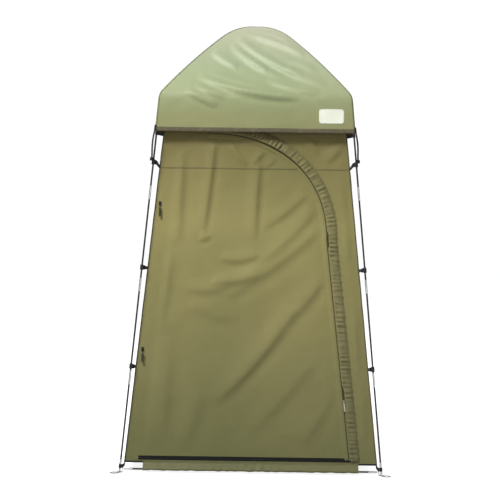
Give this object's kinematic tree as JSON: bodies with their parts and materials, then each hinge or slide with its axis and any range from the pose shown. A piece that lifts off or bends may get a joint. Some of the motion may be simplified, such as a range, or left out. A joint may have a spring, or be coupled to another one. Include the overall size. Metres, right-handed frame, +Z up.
{
  "type": "privacy shower tent",
  "caption": "Tall square privacy tent on two crossed shock-corded poles, with an arched zip door, clip-on walls and a lift-off rain fly.",
  "frame": {"origin": "on the ground at the middle of the square base", "axes": "+Z up, -Y towards the doorway's side, +X to the right of someone facing the door"},
  "size_m": [1.3098, 1.3098, 2.1402],
  "materials": {
    "pole_fibreglass": "black pultruded fibreglass tube, satin",
    "bright_steel": "bright rolled steel",
    "shock_cord": "white braided elastic",
    "wall_cloth": "olive polyester taffeta, coated inside",
    "flap_cloth": "olive taffeta gathered on its stitching",
    "fly_cloth": "pale olive coated polyester, faint sheen",
    "hem_tape": "grey-brown binding tape",
    "black_webbing": "black woven webbing",
    "edge_piping": "dark olive piping",
    "zip_tape": "black knitted zip tape with moulded teeth",
    "clip_plastic": "black moulded plastic",
    "zip_metal": "pale lacquered slider",
    "pull_plastic": "pale moulded pull",
    "toggle_plastic": "dark brown-black moulded toggle",
    "label_patch": "plain pale patch"
  },
  "bodies": {
    "tent": {"front_left_leg_tubes": "pole_fibreglass", "front_right_leg_tubes": "pole_fibreglass", "rear_left_leg_tubes": "pole_fibreglass", "rear_right_leg_tubes": "pole_fibreglass", "lower_pole_roof_tubes": "pole_fibreglass", "upper_pole_roof_tubes": "pole_fibreglass", "sill_pole_tubes": "pole_fibreglass", "shoulder_elbows": "bright_steel", "leg_ferrules": "bright_steel", "roof_ferrules": "bright_steel", "leg_tips": "bright_steel", "sill_ferrules": "bright_steel", "sill_tips": "bright_steel", "front_ground_rings": "bright_steel", "rear_ground_rings": "bright_steel", "lower_pole_shock_cord": "shock_cord", "upper_pole_shock_cord": "shock_cord", "sill_shock_cord": "shock_cord", "front_wall": "wall_cloth", "right_wall": "wall_cloth", "rear_wall": "wall_cloth", "left_wall": "wall_cloth", "sill_sleeve": "wall_cloth", "zip_cover_flap": "flap_cloth", "corner_piping": "edge_piping", "crossing_strap": "black_webbing", "top_hem_webbing": "black_webbing", "base_hem_binding": "black_webbing", "toggle_anchors": "black_webbing", "top_corner_straps": "black_webbing", "upper_clip_straps": "black_webbing", "middle_clip_straps": "black_webbing", "lower_clip_straps": "black_webbing", "base_corner_straps": "black_webbing", "upper_pole_clips": "clip_plastic", "middle_pole_clips": "clip_plastic", "lower_pole_clips": "clip_plastic", "zip_wall_tape": "zip_tape"},
    "door": {"door_panel": "wall_cloth", "zip_door_tape": "zip_tape"},
    "slider": {"zip_slider": "zip_metal"},
    "pull_tab": {"zip_pull_tab": "pull_plastic"},
    "upper_tie": {"upper_toggle": "toggle_plastic", "upper_toggle_cord": "black_webbing"},
    "lower_tie": {"lower_toggle": "toggle_plastic", "lower_toggle_cord": "black_webbing"},
    "fly": {"fly_canopy": "fly_cloth", "fly_hem_band": "hem_tape", "fly_corner_straps": "black_webbing", "fly_strap_hooks": "clip_plastic", "fly_label_patch": "label_patch"}
  },
  "joints": [
    {"name": "door_swing", "type": "hinge", "parent": "tent", "child": "door", "pos_m": [-0.45294, -0.51294, 0.8], "axis": [-0.1007, -0.1007, -0.9898], "range_deg": [0, 110]},
    {"name": "zip_run", "type": "slide", "parent": "tent", "child": "slider", "axis": [-0.1119, 0.1005, 0.9886], "range_m": [-0.25, 0.745]},
    {"name": "pull_tab_flip", "type": "hinge", "parent": "slider", "child": "pull_tab", "pos_m": [0.43283, -0.56679, 0.33769], "axis": [-0.9937, -0.0113, -0.1113], "range_deg": [0, 165]},
    {"name": "upper_tie_swing", "type": "hinge", "parent": "tent", "child": "upper_tie", "pos_m": [-0.44419, -0.47138, 1.24032], "axis": [-1, 0, 0], "range_deg": [0, 80]},
    {"name": "lower_tie_swing", "type": "hinge", "parent": "tent", "child": "lower_tie", "pos_m": [-0.51375, -0.54094, 0.55632], "axis": [-1, 0, 0], "range_deg": [0, 80]},
    {"name": "fly_lift", "type": "slide", "parent": "tent", "child": "fly", "axis": [0, 0, 1], "range_m": [0, 0.6]}
  ]
}
